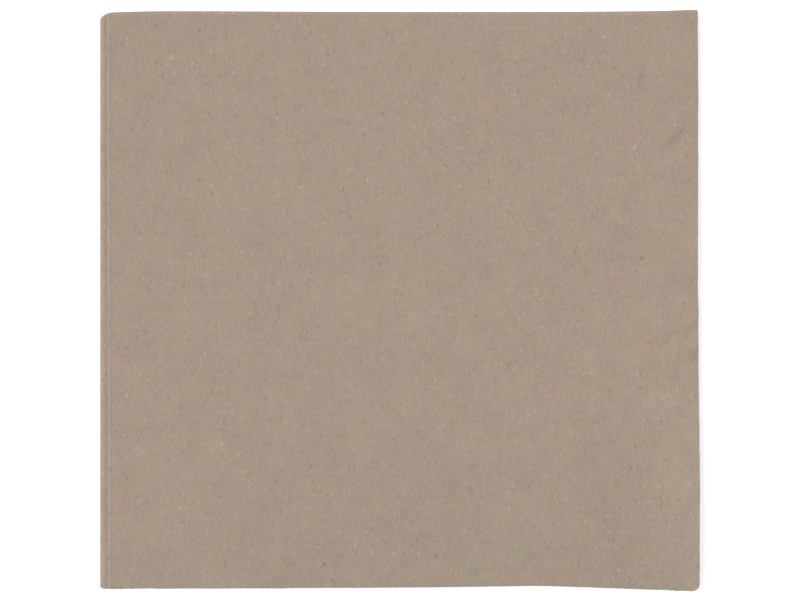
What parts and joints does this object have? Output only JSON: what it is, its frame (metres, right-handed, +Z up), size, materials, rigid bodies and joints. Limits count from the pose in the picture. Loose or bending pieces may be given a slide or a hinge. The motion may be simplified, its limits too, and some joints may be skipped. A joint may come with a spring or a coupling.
{
  "type": "paper napkin",
  "caption": "Unbleached brown paper napkin, a square sheet folded in half and in half again into a flat soft-edged pad, for wiping mouth and hands.",
  "frame": {"origin": "middle of the underside, on the surface that the napkin lies on", "axes": "+Z up through the layers; +Y towards the second fold, which takes in every layer; -X towards the first fold, where the layers of each pair meet; +X and -Y are the open cut edges"},
  "size_m": [0.1674, 0.162, 0.005],
  "materials": {
    "kraft_paper": "matte"
  },
  "bodies": {
    "root": {"napkin_sheet": "kraft_paper"}
  },
  "joints": []
}
